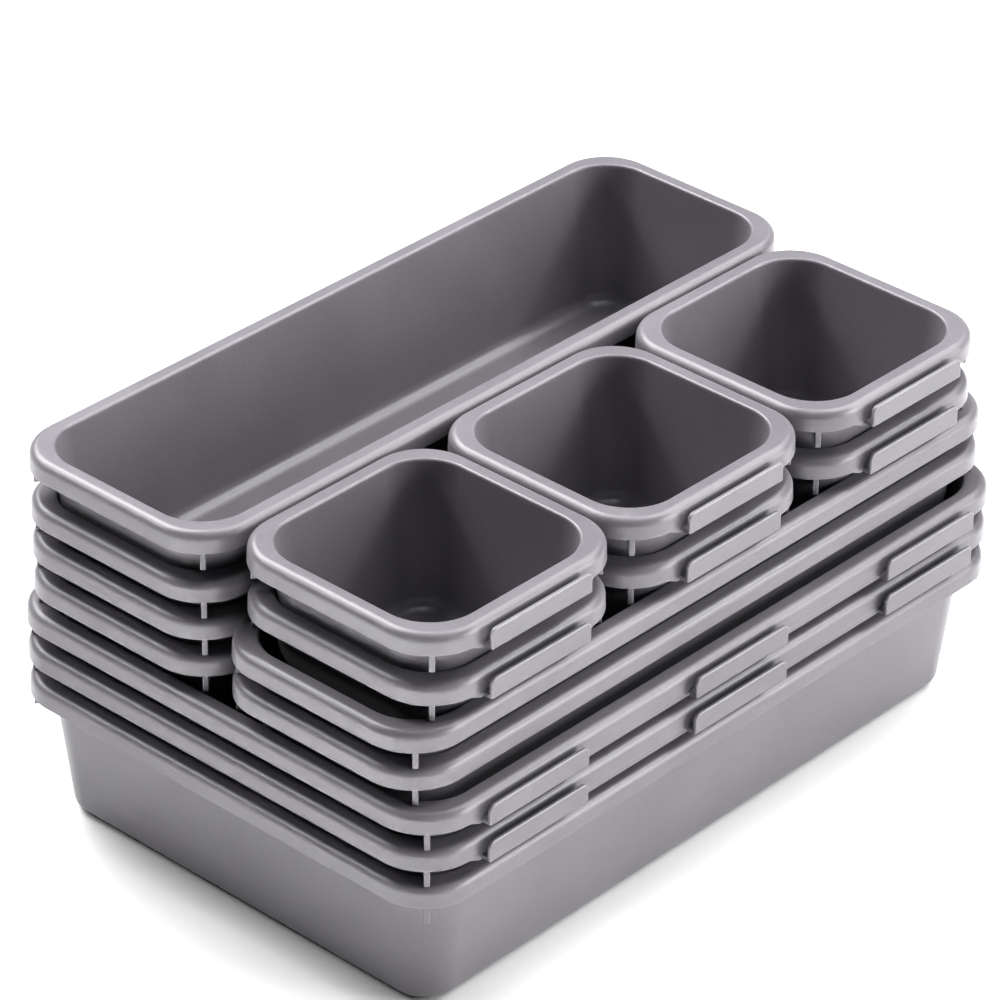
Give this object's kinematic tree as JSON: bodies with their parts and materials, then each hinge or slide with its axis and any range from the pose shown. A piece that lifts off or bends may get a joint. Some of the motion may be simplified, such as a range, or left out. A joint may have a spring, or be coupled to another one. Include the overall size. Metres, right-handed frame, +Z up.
{
  "type": "drawer organizer insert",
  "caption": "Set of nesting drawer bins in three sizes, stacked in two columns, with rolled rims, corner ribs and hooks that join them edge to edge.",
  "frame": {"origin": "centre of the lowest bin's underside, on the surface the stack stands on", "axes": "+X along the long trays, +Y towards the column of long trays, +Z up"},
  "size_m": [0.2427, 0.165, 0.1171],
  "materials": {
    "plastic": "satin moulded polypropylene, mid grey"
  },
  "bodies": {
    "large_bin_bottom": {"large_bin_bottom": "plastic"},
    "large_bin_middle": {"large_bin_middle": "plastic"},
    "large_bin_top": {"large_bin_top": "plastic"},
    "left_tray_lowest": {"left_tray_lowest": "plastic"},
    "left_tray_second": {"left_tray_second": "plastic"},
    "left_tray_third": {"left_tray_third": "plastic"},
    "left_tray_top": {"left_tray_top": "plastic"},
    "right_tray_lower": {"right_tray_lower": "plastic"},
    "right_tray_upper": {"right_tray_upper": "plastic"},
    "small_bin_front_lower": {"small_bin_front_lower": "plastic"},
    "small_bin_front_upper": {"small_bin_front_upper": "plastic"},
    "small_bin_middle_lower": {"small_bin_middle_lower": "plastic"},
    "small_bin_middle_upper": {"small_bin_middle_upper": "plastic"},
    "small_bin_back_lower": {"small_bin_back_lower": "plastic"},
    "small_bin_back_upper": {"small_bin_back_upper": "plastic"}
  },
  "joints": [
    {"name": "large_bin_middle_lift", "type": "slide", "parent": "large_bin_bottom", "child": "large_bin_middle", "axis": [0, 0, 1], "range_m": [0, 0.06]},
    {"name": "large_bin_top_lift", "type": "slide", "parent": "large_bin_middle", "child": "large_bin_top", "axis": [0, 0, 1], "range_m": [0, 0.06]},
    {"name": "left_tray_lowest_lift", "type": "slide", "parent": "large_bin_top", "child": "left_tray_lowest", "axis": [0, 0, 1], "range_m": [0, 0.06]},
    {"name": "left_tray_second_lift", "type": "slide", "parent": "left_tray_lowest", "child": "left_tray_second", "axis": [0, 0, 1], "range_m": [0, 0.06]},
    {"name": "left_tray_third_lift", "type": "slide", "parent": "left_tray_second", "child": "left_tray_third", "axis": [0, 0, 1], "range_m": [0, 0.06]},
    {"name": "left_tray_top_lift", "type": "slide", "parent": "left_tray_third", "child": "left_tray_top", "axis": [0, 0, 1], "range_m": [0, 0.06]},
    {"name": "right_tray_lower_lift", "type": "slide", "parent": "large_bin_top", "child": "right_tray_lower", "axis": [0, 0, 1], "range_m": [0, 0.06]},
    {"name": "right_tray_upper_lift", "type": "slide", "parent": "right_tray_lower", "child": "right_tray_upper", "axis": [0, 0, 1], "range_m": [0, 0.06]},
    {"name": "small_bin_front_lower_lift", "type": "slide", "parent": "right_tray_upper", "child": "small_bin_front_lower", "axis": [0, 0, 1], "range_m": [0, 0.06]},
    {"name": "small_bin_front_upper_lift", "type": "slide", "parent": "small_bin_front_lower", "child": "small_bin_front_upper", "axis": [0, 0, 1], "range_m": [0, 0.06]},
    {"name": "small_bin_middle_lower_lift", "type": "slide", "parent": "right_tray_upper", "child": "small_bin_middle_lower", "axis": [0, 0, 1], "range_m": [0, 0.06]},
    {"name": "small_bin_middle_upper_lift", "type": "slide", "parent": "small_bin_middle_lower", "child": "small_bin_middle_upper", "axis": [0, 0, 1], "range_m": [0, 0.06]},
    {"name": "small_bin_back_lower_lift", "type": "slide", "parent": "right_tray_upper", "child": "small_bin_back_lower", "axis": [0, 0, 1], "range_m": [0, 0.06]},
    {"name": "small_bin_back_upper_lift", "type": "slide", "parent": "small_bin_back_lower", "child": "small_bin_back_upper", "axis": [0, 0, 1], "range_m": [0, 0.06]}
  ]
}
